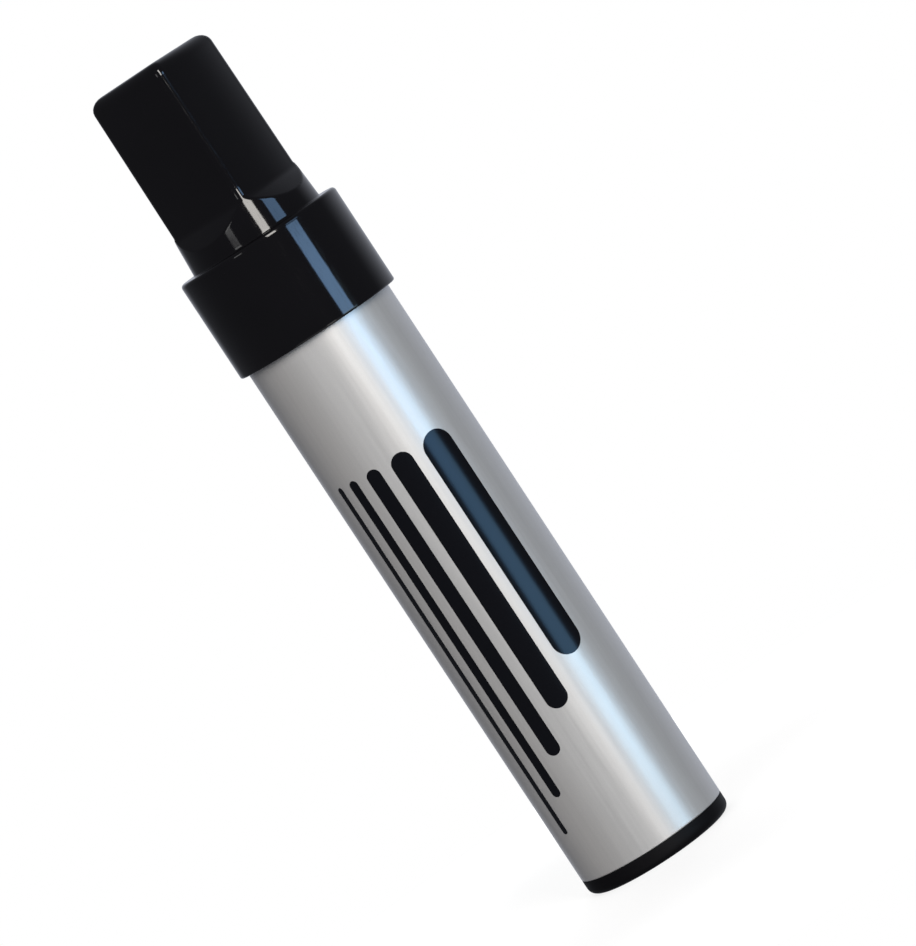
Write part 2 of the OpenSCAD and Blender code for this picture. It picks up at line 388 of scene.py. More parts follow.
def black_moulding(name, colour_value, roughness, specular, swirl_depth):
    """Injection-moulded polypropylene: deep black under a gloss that the mould's polish leaves uneven, with
    soft flow swirls a few millimetres wide and handling scuffs, drawn coarse to show, that dull it."""
    material, tree, shader, place = surface(name, colour_value, {"IOR": 1.49, "Specular IOR Level": specular})
    flow = add(tree, "ShaderNodeTexNoise", {"Vector": place, "Scale": 1 / (6 * MM), "Detail": 2.0})
    scuff_place = add(tree, "ShaderNodeMapping", {
        "Vector": place, "Rotation": (0.3, 0.5, 0.2),
        "Scale": (1 / (0.15 * MM), 1 / (0.15 * MM), 1 / (3 * MM))})
    scuffs = add(tree, "ShaderNodeTexNoise", {"Vector": scuff_place.outputs[0], "Scale": 1.0, "Detail": 3.0})
    dulled = add(tree, "ShaderNodeMapRange", {
        "Value": scuffs.outputs[0], "From Min": 0.55, "From Max": 0.8,
        "To Min": roughness, "To Max": roughness + 0.08})
    vary(tree, shader, colour_value, flow.outputs[0], dark=0.85, light=1.15, strength=0.4, depth=swirl_depth)
    fill(tree, shader, {"Roughness": dulled.outputs[0]})
    return material


def silver_lacquer(colour_value):
    """Drawn aluminium tube under a baked silver lacquer: satin metal flakes, drawn coarse to show, give it a
    broad soft shine, the clear film a sharper one, and the draw leaves faint streaks along the tube."""
    material, tree, shader, place = surface("aluminium_drawn_silver_lacquer", colour_value, {
        "Metallic": 0.5, "Coat Weight": 1.0, "Coat Roughness": 0.21, "Coat IOR": 1.5})
    along = add(tree, "ShaderNodeMapping", {
        "Vector": place, "Scale": (1 / (0.5 * MM), 1 / (0.5 * MM), 1 / (25 * MM))})
    streaks = add(tree, "ShaderNodeTexNoise", {"Vector": along.outputs[0], "Scale": 1.0, "Detail": 3.0})
    flakes = add(tree, "ShaderNodeTexNoise", {"Vector": place, "Scale": 1 / (0.12 * MM), "Detail": 1.0})
    grain = add(tree, "ShaderNodeMath", {0: streaks.outputs[0], 1: flakes.outputs[0]}, operation="ADD")
    tone = add(tree, "ShaderNodeMapRange", {
        "Value": grain.outputs[0], "From Min": 0.6, "From Max": 1.4, "To Min": 0.0, "To Max": 1.0})
    mixed = add(tree, "ShaderNodeMix", {
        0: tone.outputs[0], 6: shade(colour_value, 0.95), 7: shade(colour_value, 1.05)}, data_type="RGBA")
    rough = add(tree, "ShaderNodeMapRange", {
        "Value": streaks.outputs[0], "From Min": 0.3, "From Max": 0.7, "To Min": 0.36, "To Max": 0.44})
    bump = add(tree, "ShaderNodeBump", {"Strength": 0.3, "Distance": 0.004 * MM, "Height": grain.outputs[0]})
    fill(tree, shader, {
        "Base Color": mixed.outputs[2], "Roughness": rough.outputs[0], "Normal": bump.outputs[0]})
    return material


def printed_ink(colour_value):
    """Screen-printed ink: a thin, level black film with a cold blue gloss and the screen's faint weave in it,
    drawn coarse to show."""
    material, tree, shader, place = surface("screen_ink_printed_black", colour_value, {
        "Roughness": 0.16, "IOR": 1.5, "Specular IOR Level": 0.27, "Specular Tint": (0.5, 0.73, 1, 1)})
    weave = add(tree, "ShaderNodeTexNoise", {"Vector": place, "Scale": 1 / (0.3 * MM), "Detail": 2.0})
    vary(tree, shader, colour_value, weave.outputs[0], dark=0.8, light=1.25, strength=0.2, depth=0.004 * MM)
    return material


def pressed_fibre(name, colour_value, strand, run):
    """Bonded polyester fibre soaked with ink: dull, with strands along the bar, drawn coarse to show, and a
    wet sheen on some."""
    material, tree, shader, place = surface(name, colour_value, {
        "IOR": 1.5, "Specular IOR Level": 0.35, "Sheen Weight": 0.2, "Sheen Roughness": 0.5})
    along = add(tree, "ShaderNodeMapping", {"Vector": place, "Scale": (1 / strand, 1 / strand, 1 / run)})
    strands = add(tree, "ShaderNodeTexNoise", {"Vector": along.outputs[0], "Scale": 1.0, "Detail": 4.0})
    wet = add(tree, "ShaderNodeMapRange", {
        "Value": strands.outputs[0], "From Min": 0.35, "From Max": 0.65, "To Min": 0.85, "To Max": 0.55})
    vary(tree, shader, colour_value, strands.outputs[0], dark=0.5, light=2.0, strength=0.8, depth=strand / 2)
    fill(tree, shader, {"Roughness": wet.outputs[0]})
    return material


def natural_plastic(name, colour_value, roughness, subsurface):
    """Uncoloured polyethylene or polypropylene: milky, waxy and slightly see-through, with soft flow marks."""
    material, tree, shader, place = surface(name, colour_value, {
        "IOR": 1.51, "Subsurface Weight": subsurface, "Subsurface Scale": 1.5 * MM,
        "Subsurface Radius": (1.0, 0.9, 0.8)})
    flow = add(tree, "ShaderNodeTexNoise", {"Vector": place, "Scale": 1 / (4 * MM), "Detail": 3.0})
    rough = add(tree, "ShaderNodeMapRange", {
        "Value": flow.outputs[0], "From Min": 0.3, "From Max": 0.7,
        "To Min": roughness - 0.05, "To Max": roughness + 0.05})
    vary(tree, shader, colour_value, flow.outputs[0], dark=0.94, light=1.03, strength=0.3, depth=0.03 * MM)
    fill(tree, shader, {"Roughness": rough.outputs[0]})
    return material


# Pieces


class MARKER_OT_barrel(bpy.types.Operator):
    """Makes the lacquered tube, its cut ends rounded so that the joints beside them catch the light"""

    bl_idname = "marker.barrel"
    bl_label = "Barrel"

    def execute(self, context):
        sizes = context.scene.marker.sizes
        low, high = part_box("barrel")
        inner = high.x - sizes.barrel_wall
        rim = sizes.barrel_rim
        mesh = turned("barrel_tube", [
            (inner, low.z, rim), (high.x, low.z, rim), (high.x, high.z, rim), (inner, high.z, rim)], True)
        tube = show("barrel_tube", mesh, silver_lacquer(context.scene.marker.colours.lacquer))
        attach(tube, "marker_body")
        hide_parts("barrel")
        return {"FINISHED"}


# Points of a printed stroke: across its width, from end to end and through the ink
STROKE_POINTS = (25, 2, 2)

# How a point of the strokes finds its place: each line names a value and works it out from those before it
STROKE_SUMS = (
    ("share", "DIVIDE", "index", math.prod(STROKE_POINTS)),
    ("stroke", "FLOOR", "share"),
    ("thinned", "POWER", "Thinning", "stroke"),
    ("width", "MULTIPLY", "Broad", "thinned"),
    ("half", "MULTIPLY", "width", 0.5),
    ("loss", "SUBTRACT", "Broad", "width"),
    ("loss_rate", "SUBTRACT", 1.0, "Thinning"),
    ("inked_before", "DIVIDE", "loss", "loss_rate"),
    ("start", "MULTIPLY_ADD", "Gap", "stroke", "inked_before"),
    ("middle", "ADD", "start", "half"),
    ("sway", "SINE", "across"),
    ("aside", "MULTIPLY_ADD", "half", "sway", "middle"),
    ("bend", "DIVIDE", "aside", "Radius"),
    ("turn", "SUBTRACT", "Facing", "bend"),
    ("level", "COSINE", "across"),
    ("shortfall", "SUBTRACT", 1.0, "level"),
    ("inset", "MULTIPLY", "half", "shortfall"),
    ("trim", "MULTIPLY", "end", "inset"),
    ("reach", "MULTIPLY_ADD", "Growth", "stroke", "Length"),
    ("down", "MULTIPLY_ADD", "end", 0.5, 0.5),
    ("to_end", "MULTIPLY", "reach", "down"),
    ("drop", "SUBTRACT", "to_end", "trim"),
    ("lift", "ADD", "layer", 0.5),
    ("radius", "MULTIPLY_ADD", "Ink height", "lift", "Radius"),
    ("sine", "SINE", "turn"),
    ("cosine", "COSINE", "turn"),
    ("towards", "MULTIPLY", "radius", "cosine"),
    ("x", "MULTIPLY", "radius", "sine"),
    ("y", "MULTIPLY", "towards", -1.0),
    ("z", "SUBTRACT", "Top", "drop"),
)


def stroke_tree():
    """Strokes with round ends hung side by side from one height, each thinner and longer than the one before,
    wrapped round the barrel and as thick as the ink."""
    tree = bpy.data.node_groups.new("printed_strokes", "GeometryNodeTree")
    tree.interface.new_socket("Geometry", in_out="OUTPUT", socket_type="NodeSocketGeometry")
    tree.interface.new_socket("Strokes", in_out="INPUT", socket_type="NodeSocketInt")
    sizes = ("Broad", "Thinning", "Gap", "Length", "Growth", "Top", "Facing", "Radius", "Ink height")
    for name in sizes:
        tree.interface.new_socket(name, in_out="INPUT", socket_type="NodeSocketFloat")
    tree.interface.new_socket("Ink", in_out="INPUT", socket_type="NodeSocketMaterial")
    given = add(tree, "NodeGroupInput").outputs

    # Each stroke starts as a box at the origin: X is the angle round its ends, Y runs from upper to lower end
    across, along, through = STROKE_POINTS
    box = add(tree, "GeometryNodeMeshCube", {
        "Size": (math.pi, 2.0, 1.0), "Vertices X": across, "Vertices Y": along, "Vertices Z": through})
    spots = add(tree, "GeometryNodeMeshLine", {"Count": given["Strokes"], "Offset": (0, 0, 0)})
    laid = add(tree, "GeometryNodeInstanceOnPoints", {"Points": spots.outputs[0], "Instance": box.outputs[0]})
    real = add(tree, "GeometryNodeRealizeInstances", {"Geometry": laid.outputs[0]})

    position = add(tree, "GeometryNodeInputPosition").outputs[0]
    corner = add(tree, "ShaderNodeSeparateXYZ", {0: position}).outputs
    known = {name: given[name] for name in sizes}
    known["index"] = add(tree, "GeometryNodeInputIndex").outputs[0]
    known.update(across=corner["X"], end=corner["Y"], layer=corner["Z"])
    for name, operation, *terms in STROKE_SUMS:
        values = {i: known.get(term, term) for i, term in enumerate(terms)}
        known[name] = add(tree, "ShaderNodeMath", values, operation=operation).outputs[0]
    place = add(tree, "ShaderNodeCombineXYZ", {0: known["x"], 1: known["y"], 2: known["z"]})
    wrapped = add(tree, "GeometryNodeSetPosition", {
        "Geometry": real.outputs[0], "Position": place.outputs[0]})
    inked = add(tree, "GeometryNodeSetMaterial", {"Geometry": wrapped.outputs[0], "Material": given["Ink"]})
    add(tree, "NodeGroupOutput", {0: inked.outputs[0]})
    return tree


class MARKER_OT_printing(bpy.types.Operator):
    """Prints plain strokes of graded widths on the barrel"""

    bl_idname = "marker.printing"
    bl_label = "Printed strokes"

    def execute(self, context):
        marker = context.scene.marker
        settings = marker.printing
        ink = printed_ink(marker.colours.ink)
        strokes = show("printed_strokes", bpy.data.meshes.new("printed_strokes"), ink)
        nodes_modifier(strokes, stroke_tree(), {
            "Strokes": settings.strokes, "Broad": settings.broad, "Thinning": settings.thinning,
            "Gap": settings.gap, "Length": settings.reach, "Growth": settings.growth, "Top": settings.top,
            "Facing": settings.facing, "Radius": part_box("barrel")[1].x, "Ink height": settings.ink_height,
            "Ink": ink})
        plain_mesh(strokes, "printed_strokes")
        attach(strokes, "marker_body")
        return {"FINISHED"}


class MARKER_OT_end_plug(bpy.types.Operator):
    """Makes the end plug: rounded flange, dished underside with its gate mark, hollow shank"""

    bl_idname = "marker.end_plug"
    bl_label = "End plug"

    def execute(self, context):
        marker = context.scene.marker
        sizes = marker.sizes
        low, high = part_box("end_plug")
        flange = low.z + sizes.plug_flange
        shank = high.x - sizes.barrel_wall - sizes.press_gap
        hollow = shank - sizes.plug_wall
        rim = high.x - sizes.plug_rim
        dish = low.z + sizes.plug_dish
        gate = dish - sizes.gate_height
        soft = sizes.plug_soft
        mesh = turned("end_plug_moulding", [
            (0, gate, 0), (sizes.gate_radius, gate, soft / 2), (sizes.gate_radius, dish, soft / 2),
            (rim, dish, soft), (rim, low.z, soft), (high.x, low.z, sizes.plug_edge), (high.x, flange, soft),
            (shank, flange, soft), (shank, high.z, 3 * soft), (hollow, high.z, soft),
            (hollow, flange, 3 * soft), (0, flange, 0)], False)
        plug = show("end_plug_moulding", mesh, black_moulding(
            "polypropylene_moulded_black_plug", marker.colours.plug,
            roughness=0.5, specular=0.12, swirl_depth=0.02 * MM))
        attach(plug, "marker_body")
        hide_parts("end_plug")
        return {"FINISHED"}


class MARKER_OT_reservoir(bpy.types.Operator):
    """Gives the ink reservoir and its film sleeve, hidden in the barrel, their finishes"""

    bl_idname = "marker.reservoir"
    bl_label = "Ink reservoir"

    def execute(self, context):
        colours = context.scene.marker.colours
        finishes = {
            "reservoir": pressed_fibre(
                "polyester_bonded_fibre_inked", colours.fibre, strand=0.15 * MM, run=6 * MM),
            "reservoir_sleeve": natural_plastic(
                "polypropylene_wrapped_film", colours.film, roughness=0.3, subsurface=0.1),
        }
        for node, material in finishes.items():
            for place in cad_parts[node].material_slots:
                place.material = material
        return {"FINISHED"}


def slot_outline(half_x, half_y, vent):
    """Points round the nib's slot, with a half-round air channel in the middle of each long side."""
    leg = half_x - vent
    shares = [i / SLOT_STEPS for i in range(SLOT_STEPS)]
    points = []
    for side in (1, -1):
        points += [Vector((half_x, half_y * (2 * s - 1))) * side for s in shares]
        points += [Vector((half_x - leg * s, half_y)) * side for s in shares]
        turns = [math.pi * s for s in shares]
        points += [Vector((vent * math.cos(t), half_y + vent * math.sin(t))) * side for t in turns]
        points += [Vector((-vent - leg * s, half_y)) * side for s in shares]
    return points


class MARKER_OT_nib_holder(bpy.types.Operator):
    """Makes the nib holder: hollow shank, stop flange, seat with its snap bead, nose with the nib's slot"""

    bl_idname = "marker.nib_holder"
    bl_label = "Nib holder"

    def execute(self, context):
        marker = context.scene.marker
        sizes = marker.holder
        low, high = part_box("nib_holder")
        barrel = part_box("barrel")[1]
        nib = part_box("nib")[1]
        shank = high.x - marker.sizes.barrel_wall - marker.sizes.press_gap
        hollow = shank - sizes.wall
        seat = high.x - sizes.seat_step
        seat_z = barrel.z + sizes.flange
        seat_top = seat_z + sizes.seat
        bead_z = seat_z + sizes.bead_up
        nose = math.hypot(nib.x, nib.y) + sizes.nose_wall
        land = nose - sizes.nose_land
        nose_z = seat_top + sizes.shoulder
        front = seat_top - sizes.front
        guide = front - sizes.guide
        soft = sizes.soft
        slot = slot_outline(nib.x + sizes.felt_gap, nib.y + sizes.felt_gap, sizes.vent)

        def round_rings(outline):
            return [[(*(p.normalized() * radius), z) for p in slot] for radius, z in outline]

        def slot_ring(widening, z):
            return [(*(p + p.normalized() * widening), z) for p in slot]

        outside = rounded([
            (hollow, low.z, 0), (shank, low.z, soft), (shank, barrel.z, soft), (high.x, barrel.z, soft),
            (high.x, seat_z, sizes.flange_edge), (seat, seat_z, soft),
            (seat, bead_z - sizes.bead_half, sizes.bead_foot),
            (seat + sizes.bead_height, bead_z, sizes.bead_half),
            (seat, bead_z + sizes.bead_half, sizes.bead_foot), (seat, seat_top, sizes.seat_edge),
            (nose, nose_z, sizes.shoulder_edge), (nose, high.z, sizes.nose_edge), (land, high.z, 0)], False)
        inside = rounded([
            (land, guide, 0), (nose, guide, soft), (nose, front, soft), (hollow, front, 2 * soft),
            (hollow, low.z, 0)], False)
        rings = round_rings(outside)
        rings += [
            slot_ring(soft, high.z), slot_ring(soft / 3, high.z - soft / 3), slot_ring(0, high.z - soft),
            slot_ring(0, guide)]
        rings += round_rings(inside)
        holder = show("nib_holder_moulding", loft("nib_holder_moulding", rings, True), black_moulding(
            "polypropylene_moulded_black_satin", marker.colours.holder,
            roughness=0.42, specular=0.4, swirl_depth=0.03 * MM))
        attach(holder, "marker_body")
        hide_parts("nib_holder")
        return {"FINISHED"}


# Least and most that a loose fibre strays from straight out of the felt, and shares of its full size
FIBRE_STRAY = ((-0.5, -0.5, 0.2), (0.5, 0.5, 1.2))
FIBRE_SHARES = (0.4, 1.0)


def fibre_tree():
    """Adds loose fibres to the felt above a height, leaning towards the tip."""
    tree = bpy.data.node_groups.new("loose_fibres", "GeometryNodeTree")
    tree.interface.new_socket("Geometry", in_out="OUTPUT", socket_type="NodeSocketGeometry")
    tree.interface.new_socket("Geometry", in_out="INPUT", socket_type="NodeSocketGeometry")
    for name in ("Density", "Length", "Radius", "From height"):
        tree.interface.new_socket(name, in_out="INPUT", socket_type="NodeSocketFloat")
    tree.interface.new_socket("Seed", in_out="INPUT", socket_type="NodeSocketInt")
    tree.interface.new_socket("Felt", in_out="INPUT", socket_type="NodeSocketMaterial")
    given = add(tree, "NodeGroupInput").outputs
    position = add(tree, "GeometryNodeInputPosition").outputs[0]
    height = add(tree, "ShaderNodeSeparateXYZ", {0: position}).outputs["Z"]
    in_open = add(tree, "FunctionNodeCompare", {
        0: height, 1: given["From height"]}, operation="GREATER_THAN")
    spots = add(tree, "GeometryNodeDistributePointsOnFaces", {
        "Mesh": given["Geometry"], "Selection": in_open.outputs[0], "Density": given["Density"],
        "Seed": given["Seed"]})
    stray = add(tree, "FunctionNodeRandomValue", {
        0: FIBRE_STRAY[0], 1: FIBRE_STRAY[1], "Seed": given["Seed"]}, data_type="FLOAT_VECTOR")
    way = add(tree, "ShaderNodeVectorMath", {
        0: spots.outputs["Normal"], 1: stray.outputs[0]}, operation="ADD")
    lean = add(tree, "FunctionNodeAlignRotationToVector", {"Vector": way.outputs[0]}, axis="Z")
    size = add(tree, "FunctionNodeRandomValue", {
        2: FIBRE_SHARES[0], 3: FIBRE_SHARES[1], "Seed": given["Seed"]}, data_type="FLOAT")
    fibre = add(tree, "GeometryNodeMeshCone", {
        "Vertices": 3, "Side Segments": 1, "Fill Segments": 1, "Radius Top": 0.0,
        "Radius Bottom": given["Radius"], "Depth": given["Length"]})
    placed = add(tree, "GeometryNodeInstanceOnPoints", {
        "Points": spots.outputs["Points"], "Instance": fibre.outputs["Mesh"], "Rotation": lean.outputs[0],
        "Scale": size.outputs[1]})
    both = add(tree, "GeometryNodeJoinGeometry")
    tree.links.new(given["Geometry"], both.inputs[0])
    tree.links.new(placed.outputs[0], both.inputs[0])
    real = add(tree, "GeometryNodeRealizeInstances", {"Geometry": both.outputs[0]})
    felt = add(tree, "GeometryNodeSetMaterial", {"Geometry": real.outputs[0], "Material": given["Felt"]})
    add(tree, "NodeGroupOutput", {0: felt.outputs[0]})
    return tree


# Fall-off, step and number of the octaves of the felt's unevenness
FELT_OCTAVES = (1.0, 2.0, 3)


class MARKER_OT_nib(bpy.types.Operator):
    """Makes the felt chisel: pressed felt, uneven where it is in the open, with loose fibres"""

    bl_idname = "marker.nib"
    bl_label = "Nib"

    def execute(self, context):
        marker = context.scene.marker
        settings = marker.nib
        felt = pressed_fibre(
            "polyester_pressed_felt_inked", marker.colours.felt, strand=0.12 * MM, run=2.5 * MM)
        shape = bmesh.new()
        shape.from_mesh(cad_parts["nib"].data)
        bmesh.ops.remove_doubles(shape, verts=shape.verts, dist=WELD)
        mesh = bpy.data.meshes.new("felt_nib")
        shape.to_mesh(mesh)
        shape.free()
        nib = show("felt_nib", mesh, felt)
        remesh = nib.modifiers.new("felt points", "REMESH")
        remesh.mode = "VOXEL"
        remesh.voxel_size = settings.grain
        soften = nib.modifiers.new("soft edges", "SMOOTH")
        soften.iterations = settings.softening
        mesh = plain_mesh(nib, "felt_nib")
        nose_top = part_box("nib_holder")[1].z
        clump = Vector((settings.clump, settings.clump, settings.clump_length))
        outward = [vertex.normal.copy() for vertex in mesh.vertices]
        for vertex, way in zip(mesh.vertices, outward):
            bare = min(max((vertex.co.z - nose_top) / settings.pressed, 0), 1)
            spot = Vector(place / width for place, width in zip(vertex.co, clump))
            vertex.co += way * noise.fractal(spot, *FELT_OCTAVES) * settings.fuzz * bare
        nodes_modifier(nib, fibre_tree(), {
            "Density": settings.density / MM ** 2, "Length": settings.fibre_length,
            "Radius": settings.fibre_radius, "From height": nose_top + settings.fringe,
            "Seed": settings.seed, "Felt": felt})
        plain_mesh(nib, "felt_nib").shade_smooth()
        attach(nib, "marker_body")
        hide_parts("nib")
        return {"FINISHED"}


def cap_ring(z, half, reach, edge=0.0, crown=0.0):
    """Section of the cap at a height: a square of that half width cut out of a circle of that reach, with
    rounded edges and slightly crowned flats."""
    centre_x = half - edge
    centre_y = min(math.sqrt(max((reach - edge) ** 2 - centre_x ** 2, 0)), centre_x)
    round_from = math.atan2(centre_y, centre_x)
    points = []
    for side in range(CAP_SIDES):
        turn = 2 * math.pi * side / CAP_SIDES
        off_flat = abs((turn + math.pi / 4) % (math.pi / 2) - math.pi / 4)
        along = half * math.tan(off_flat)
        if off_flat >= round_from and centre_y < centre_x:
            radius = reach
        elif along <= centre_y:
            bulge = crown * (1 - (along / centre_y) ** 2) if centre_y else 0
            radius = (half + bulge) / math.cos(off_flat)
        else:
            ahead = centre_x * math.cos(off_flat) + centre_y * math.sin(off_flat)
            beside = centre_x * math.sin(off_flat) - centre_y * math.cos(off_flat)
            radius = ahead + math.sqrt(max(edge ** 2 - beside ** 2, 0))
        points.append((radius * math.cos(turn), radius * math.sin(turn), z))
    return points


def liner_neck(sizes):
    """Heights at which the cap's liner starts and ends to narrow from bell to cup, and the cup's radius."""
    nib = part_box("nib")[1]
    bell_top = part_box("nib_holder")[1].z + sizes.liner_gap
    cup = math.hypot(nib.x, nib.y) + sizes.liner_gap + sizes.cup_wall
    return bell_top, bell_top + sizes.neck_height, cup


# Places of the cap's rings: shares of the top's width, and of the height of the stem and of the hollow's foot
TOP_SHARES = (0.5, 0.97)
STEM_SHARES = (0.98, 0.75, 0.5, 0.25, 0.1)
HOLLOW_SHARES = (0.25, 0.5, 0.75, 1.0)
# Power with which the upright edges' rounding fades while the flats run out into the foot
EDGE_FADE = 4


class MARKER_OT_cap(bpy.types.Operator):
    """Makes the cap: round collar, foot that turns from round to square, square stem, hollow inside"""

    bl_idname = "marker.cap"
    bl_label = "Cap"

    def execute(self, context):
        marker = context.scene.marker
        sizes = marker.sizes
        low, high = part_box("cap")
        collar_top = low.z + sizes.collar_height
        deck_z = collar_top - sizes.deck
        stop_z = low.z + sizes.skirt_depth
        skirt_inner = high.x - sizes.skirt_wall
        foot = sizes.foot_radius
        foot_inner = foot - sizes.stem_wall
        fillet = sizes.foot_fillet
        foot_z = collar_top + fillet * (1 + GUARD)
        flats_z = collar_top + sizes.flats_height
        slope = math.tan(sizes.flats_slope)
        ease = sizes.flats_ease
        stem_z = flats_z + ease
        edge = sizes.stem_edge
        crest = sizes.stem_crest
        crest_z = high.z - crest
        half_foot = sizes.stem_half + sizes.stem_lean
        ridge = (half_foot - edge) * math.sqrt(2) + edge
        hollow_top = sizes.stem_half - sizes.stem_wall
        roof_z = high.z - sizes.roof
        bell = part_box("cap_liner")[1].x
        bell_top, cup_z, cup = liner_neck(sizes)
        bends = [math.pi / 2 * step / EDGE_STEPS for step in range(EDGE_STEPS + 1)]

        def run_out(z):
            """Distance that the flats have run out of the stem at a height, eased where the slope starts."""
            below = flats_z - z
            if abs(below) < ease:
                return slope * (below + ease) ** 2 / (4 * ease)
            return slope * max(below, 0)

        def half_at(z):
            """Half width across the flats at a height."""
            return half_foot + run_out(z) - sizes.stem_lean * max(z - flats_z, 0) / (high.z - flats_z)

        def stem_at(z, wall=0.0, corner=edge):
            """Section of the stem or its foot at a height, or of the hollow inside a wall."""
            reach = ridge + (foot - ridge) * max(1 - (z - collar_top) / sizes.foot_height, 0)
            square = max(1 - run_out(z) / (foot - half_foot), 0)
            return cap_ring(
                z, half_at(z) - wall, reach - wall, square ** EDGE_FADE * corner, square * sizes.stem_crown)

        def round_ring(z, radius):
            return cap_ring(z, radius, radius)

        def liner_room(z):
            """Half width that the hollow needs at a height to clear the liner's neck."""
            share = min(max((cup_z - z) / (cup_z - bell_top), 0), 1)
            return cup + (bell - cup) * share + sizes.liner_seat - sizes.stem_crown

        top = half_at(crest_z) - crest
        rings = [[(0, 0, high.z)]]
        for share in TOP_SHARES:
            rings.append(cap_ring(high.z, top * share, foot, edge / 2 * share))
        for step, bend in enumerate(bends):
            rings.append(cap_ring(
                crest_z + crest * math.cos(bend), top + crest * math.sin(bend), foot,
                edge / 2 * (1 + math.sin(bend)), sizes.stem_crown * step / EDGE_STEPS))
        for share in STEM_SHARES:
            rings.append(stem_at(stem_z + share * (crest_z - stem_z)))
        for step in range(FOOT_STEPS + 1):
            rings.append(stem_at(stem_z + (foot_z - stem_z) * step / FOOT_STEPS))
        for bend in bends:
            rings.append(round_ring(
                collar_top + fillet * (1 - math.sin(bend)), foot + fillet * (1 - math.cos(bend))))
        collar = rounded([
            (foot + fillet * (1 + GUARD), collar_top, 0), (high.x, collar_top, sizes.collar_edge),
            (high.x, low.z, sizes.skirt_edge), (skirt_inner, low.z, sizes.skirt_edge),
            (skirt_inner, stop_z, sizes.stop_corner), (sizes.cap_bore, stop_z, sizes.bore_edge),
            (sizes.cap_bore, deck_z, sizes.deck_corner), (foot_inner, deck_z, sizes.bore_edge),
            (foot_inner, collar_top, 0)], False)
        rings += [round_ring(z, radius) for radius, z in collar]
        for share in HOLLOW_SHARES:
            z = collar_top + share * (stem_z - collar_top)
            rings.append(stem_at(z, min(sizes.stem_wall, half_at(z) - liner_room(z)), sizes.hollow_edge))
        rings += [
            stem_at(cup_z, sizes.stem_wall, sizes.hollow_edge),
            cap_ring(roof_z, hollow_top, foot_inner, sizes.hollow_edge),
            cap_ring(roof_z, hollow_top / 2, foot_inner), [(0, 0, roof_z)]]
        cap = show("cap_moulding", loft("cap_moulding", rings, False), black_moulding(
            "polypropylene_moulded_black_gloss", marker.colours.cap,
            roughness=0.07, specular=0.42, swirl_depth=0.03 * MM))
        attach(cap, "cap_shell")
        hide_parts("cap")
        return {"FINISHED"}


class MARKER_OT_cap_liner(bpy.types.Operator):
    """Makes the cap's inner seal: a bell over the nose that narrows to a cup round the nib"""

    bl_idname = "marker.cap_liner"
    bl_label = "Cap liner"

    def execute(self, context):
        marker = context.scene.marker
        sizes = marker.sizes
        low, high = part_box("cap_liner")
        bell_top, cup_z, cup = liner_neck(sizes)
        cup_inner = cup - sizes.cup_wall
        bell_inner = high.x - sizes.bell_wall
        roof_z = high.z - sizes.cup_wall
        bend = sizes.neck_bend
        soft = sizes.liner_soft
        mesh = turned("cap_liner_moulding", [
            (0, roof_z, 0), (cup_inner, roof_z, 2 * soft), (cup_inner, cup_z, bend),
            (bell_inner, bell_top, bend), (bell_inner, low.z, soft), (high.x, low.z, soft),
            (high.x, bell_top, bend), (cup, cup_z, bend), (cup, high.z, 2 * soft), (0, high.z, 0)], False)
        liner = show("cap_liner_moulding", mesh, natural_plastic(
            "polyethylene_moulded_natural", marker.colours.liner, roughness=0.4, subsurface=0.3))
        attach(liner, "cap_core")
        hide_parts("cap_liner")
        return {"FINISHED"}


# Stage


def direction(azimuth, elevation):
    """Unit vector from the marker towards an azimuth and elevation."""
    level = math.cos(elevation)
    return Vector((math.sin(azimuth) * level, -math.cos(azimuth) * level, math.sin(elevation)))


# Lamps: degrees round from the camera and up, degrees wide and high, radiance and tint
WHITE = (1, 1, 1)
WARM = (1, 0.965, 0.92)
BLUE = (0.34, 0.6, 1)
PALE_BLUE = (0.52, 0.77, 0.94)
LAMPS = (
    ("key", 16.9, 23.5, 13, 36, 14.6, WARM),
    ("low_key", 19, -20.5, 13, 24, 1.9, WARM),
    ("window_top", 47.5, 8, 19, 7, 4.9, BLUE),
    ("window", 45.5, -1.7, 17, 3, 7.6, BLUE),
    ("low_window", 48.8, -8.9, 22, 11.4, 5.4, PALE_BLUE),
    ("side", -34, 13.5, 11, 14, 2.5, WHITE),
    ("panel", -32, 30, 46, 36, 2.9, WHITE),
    ("table", 0, -45, 60, 40, 0.65, WHITE),
    ("back", 180, 28, 50, 46, 4.4, WHITE),
)
# Lamps that don't show in reflections, and how far all lamps stand from the collar
FILLS = ("panel", "back")
LAMP_DISTANCE = 1.0

# The white wall behind the marker that its gloss shows: its place round from the camera and up, the angles
# from its middle at which it starts to fade and is gone, and its brightness
WALL_AZIMUTH = math.radians(160)
WALL_ELEVATION = math.radians(-5)
WALL_CORE = math.radians(8)
WALL_RIM = math.radians(60)
WALL_LEVEL = 0.57
# Brightness and tint of the room beside the wall, and brightness of the plain fill
ROOM_LEVEL = 0.13
ROOM_TINT = (0.84, 0.88, 1, 1)
FILL_LEVEL = 0.06

# The floor: its sides, the share of its radius at which it starts to turn white, its brightness there without
# light, and the grey that takes the shadow
FLOOR_SIDES = 96
FLOOR_FADE = 0.3
FLOOR_LEVEL = 0.8
FLOOR_GREY = (0.22, 0.22, 0.22, 1)

SENSOR_WIDTH = 36


